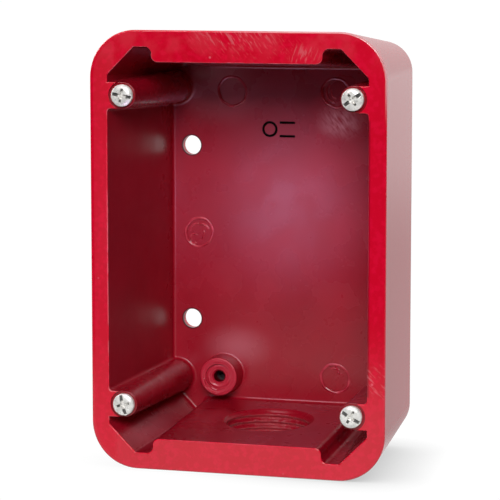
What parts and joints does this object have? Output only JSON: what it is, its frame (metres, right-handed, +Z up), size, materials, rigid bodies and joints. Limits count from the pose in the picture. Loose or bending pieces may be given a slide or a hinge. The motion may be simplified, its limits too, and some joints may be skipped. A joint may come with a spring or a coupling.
{
  "type": "back box for a wall horn strobe",
  "caption": "Deep cast metal back box with rounded corners, an open front with cover screws in its corner posts, wall screw holes and a threaded conduit entry below.",
  "frame": {"origin": "centre of the flat rear face that lies on the wall", "axes": "+Z up, +Y into the wall, +X to the right for someone who faces the open front"},
  "size_m": [0.083, 0.0519, 0.1206],
  "materials": {
    "red_paint": "gloss",
    "zinc_plate": "satin"
  },
  "bodies": {
    "box": {"box_casting": "red_paint"},
    "cover_screw_top_left_body": {"cover_screw_top_left": "zinc_plate"},
    "cover_screw_top_right_body": {"cover_screw_top_right": "zinc_plate"},
    "cover_screw_bottom_left_body": {"cover_screw_bottom_left": "zinc_plate"},
    "cover_screw_bottom_right_body": {"cover_screw_bottom_right": "zinc_plate"}
  },
  "joints": [
    {"name": "cover_screw_top_left_back_out", "type": "slide", "parent": "box", "child": "cover_screw_top_left_body", "axis": [0, -1, 0], "range_m": [0, 0.011]},
    {"name": "cover_screw_top_right_back_out", "type": "slide", "parent": "box", "child": "cover_screw_top_right_body", "axis": [0, -1, 0], "range_m": [0, 0.011]},
    {"name": "cover_screw_bottom_left_back_out", "type": "slide", "parent": "box", "child": "cover_screw_bottom_left_body", "axis": [0, -1, 0], "range_m": [0, 0.011]},
    {"name": "cover_screw_bottom_right_back_out", "type": "slide", "parent": "box", "child": "cover_screw_bottom_right_body", "axis": [0, -1, 0], "range_m": [0, 0.011]}
  ]
}
